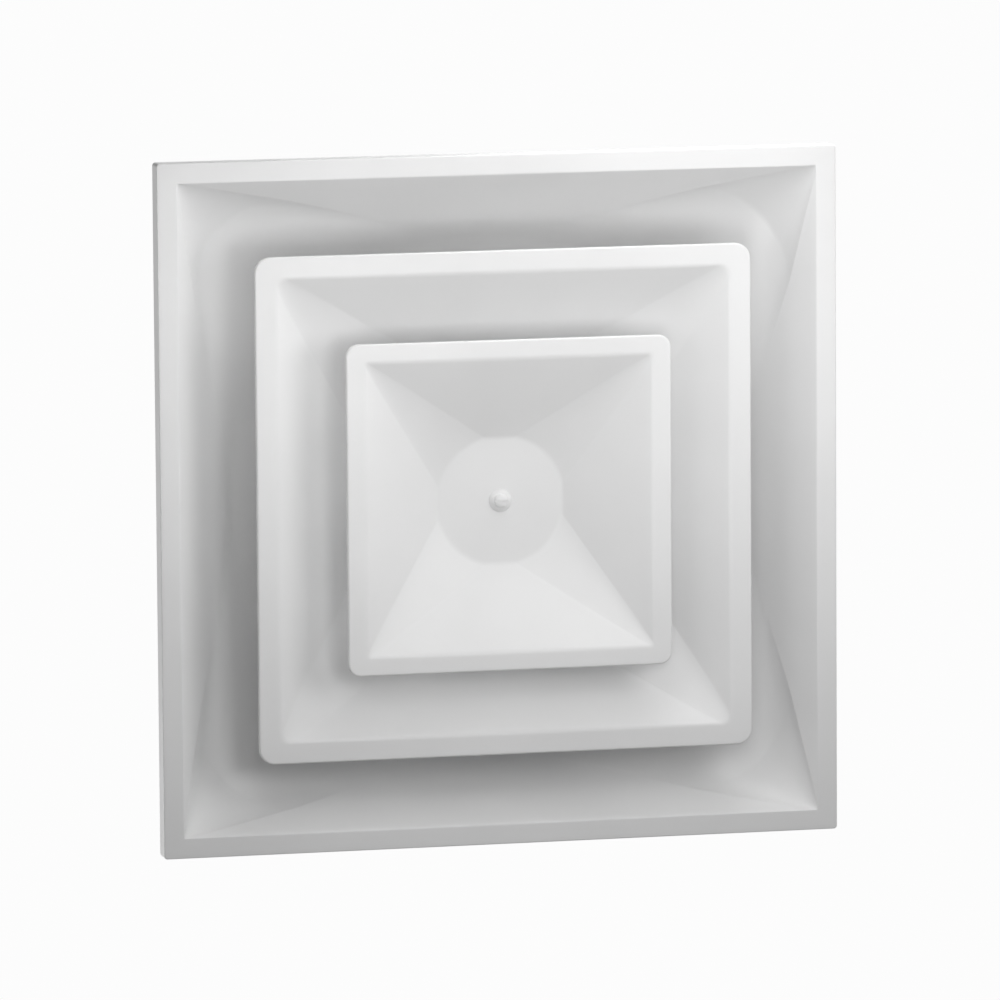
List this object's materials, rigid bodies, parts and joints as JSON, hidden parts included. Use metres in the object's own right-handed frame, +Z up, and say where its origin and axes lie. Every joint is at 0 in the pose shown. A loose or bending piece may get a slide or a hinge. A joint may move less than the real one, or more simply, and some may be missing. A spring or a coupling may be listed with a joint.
{
  "type": "ceiling air diffuser",
  "caption": "Square lay-in ceiling diffuser with nested step-down cones, a round duct collar and a removable core let down by its centre screw.",
  "frame": {"origin": "centre of the border's room face, the face that lies on the ceiling grid", "axes": "+Z up into the ceiling along the duct; X and Y along the panel's sides, the neck bridge along X"},
  "size_m": [0.603, 0.603, 0.136],
  "materials": {
    "white_enamel": "satin white baked enamel on pressed steel sheet",
    "galvanised_sheet": "dull galvanised steel sheet",
    "rivet_aluminium": "plain blind rivets",
    "zinc_plate": "bright zinc plate"
  },
  "bodies": {
    "frame": {"back_pan": "white_enamel", "neck_collar": "galvanised_sheet", "collar_rivets": "rivet_aluminium", "neck_bridge": "galvanised_sheet", "bridge_rivets": "rivet_aluminium", "clinch_nut": "zinc_plate", "hanger_tab_front_left": "galvanised_sheet", "hanger_tab_front_right": "galvanised_sheet", "hanger_tab_rear_left": "galvanised_sheet", "hanger_tab_rear_right": "galvanised_sheet", "tab_rivets": "rivet_aluminium"},
    "core": {"middle_cone": "white_enamel", "inner_cone": "white_enamel", "lower_cross_strap": "galvanised_sheet", "upper_cross_strap": "galvanised_sheet", "strap_rivets": "rivet_aluminium", "guide_pin_left": "zinc_plate", "guide_pin_right": "zinc_plate", "spacer_sleeve": "zinc_plate", "cup_washer": "white_enamel"},
    "screw": {"centre_screw": "white_enamel"}
  },
  "joints": [
    {"name": "core_lower", "type": "slide", "parent": "frame", "child": "core", "axis": [0, 0, -1], "range_m": [0, 0.025]},
    {"name": "screw_turn", "type": "hinge", "parent": "core", "child": "screw", "pos_m": [0, 0, 0], "axis": [0, 0, 1], "range_deg": [-9000, 0]}
  ],
  "couplings": [
    {"joint": "screw_turn", "follows": "core_lower", "rad_per_m": -6283.2}
  ]
}
